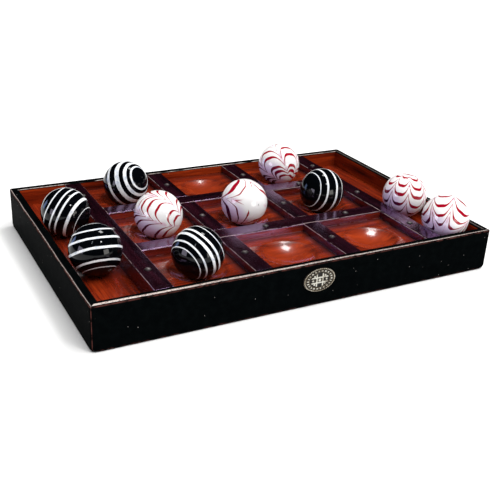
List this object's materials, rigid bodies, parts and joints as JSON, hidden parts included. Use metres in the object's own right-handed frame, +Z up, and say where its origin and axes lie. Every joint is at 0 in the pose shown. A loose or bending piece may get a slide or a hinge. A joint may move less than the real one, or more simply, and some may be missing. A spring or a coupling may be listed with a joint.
{
  "type": "noughts and crosses tray with glass balls",
  "caption": "Shallow black wooden tray with a grid of dimpled square recesses, a trough at each end, and loose striped and scalloped glass balls.",
  "frame": {"origin": "centre of the tray, in the plane its rails stand on", "axes": "+X along the front rail to the right, +Y to the back, +Z up"},
  "size_m": [0.44, 0.3013, 0.0783],
  "materials": {
    "black_paint": "satin black paint, worn to bare wood along the edges",
    "mahogany": "glossy red-brown varnish over mahogany",
    "rosewood": "glossy varnish over dark purple-brown wood",
    "screw_metal": "tarnished, slotted heads",
    "badge_metal": "antique pewter-like plating",
    "black_glass": "glossy opaque black with white rings",
    "white_glass": "glossy opaque white with crimson scallops"
  },
  "bodies": {
    "tray": {"front_rail": "black_paint", "back_rail": "black_paint", "left_rail": "black_paint", "right_rail": "black_paint", "floor_panel": "mahogany", "tile_1": "mahogany", "tile_2": "mahogany", "tile_3": "mahogany", "tile_4": "mahogany", "tile_5": "mahogany", "tile_6": "mahogany", "tile_7": "mahogany", "tile_8": "mahogany", "tile_9": "mahogany", "long_bar_1": "rosewood", "long_bar_2": "rosewood", "long_bar_3": "rosewood", "long_bar_4": "rosewood", "cross_bar_1": "rosewood", "cross_bar_2": "rosewood", "bar_screws": "screw_metal", "badge": "badge_metal"},
    "black_1": {"black_ball_1": "black_glass"},
    "black_2": {"black_ball_2": "black_glass"},
    "black_3": {"black_ball_3": "black_glass"},
    "black_4": {"black_ball_4": "black_glass"},
    "black_5": {"black_ball_5": "black_glass"},
    "white_1": {"white_ball_1": "white_glass"},
    "white_2": {"white_ball_2": "white_glass"},
    "white_3": {"white_ball_3": "white_glass"},
    "white_4": {"white_ball_4": "white_glass"},
    "white_5": {"white_ball_5": "white_glass"}
  },
  "joints": [
    {"name": "lift_black_1", "type": "slide", "parent": "tray", "child": "black_1", "axis": [0, 0, 1], "range_m": [0, 0.08]},
    {"name": "lift_black_2", "type": "slide", "parent": "tray", "child": "black_2", "axis": [0, 0, 1], "range_m": [0, 0.08]},
    {"name": "lift_black_3", "type": "slide", "parent": "tray", "child": "black_3", "axis": [0, 0, 1], "range_m": [0, 0.08]},
    {"name": "lift_black_4", "type": "slide", "parent": "tray", "child": "black_4", "axis": [0, 0, 1], "range_m": [0, 0.08]},
    {"name": "lift_black_5", "type": "slide", "parent": "tray", "child": "black_5", "axis": [0, 0, 1], "range_m": [0, 0.08]},
    {"name": "lift_white_1", "type": "slide", "parent": "tray", "child": "white_1", "axis": [0, 0, 1], "range_m": [0, 0.08]},
    {"name": "lift_white_2", "type": "slide", "parent": "tray", "child": "white_2", "axis": [0, 0, 1], "range_m": [0, 0.08]},
    {"name": "lift_white_3", "type": "slide", "parent": "tray", "child": "white_3", "axis": [0, 0, 1], "range_m": [0, 0.08]},
    {"name": "lift_white_4", "type": "slide", "parent": "tray", "child": "white_4", "axis": [0, 0, 1], "range_m": [0, 0.08]},
    {"name": "lift_white_5", "type": "slide", "parent": "tray", "child": "white_5", "axis": [0, 0, 1], "range_m": [0, 0.08]}
  ]
}
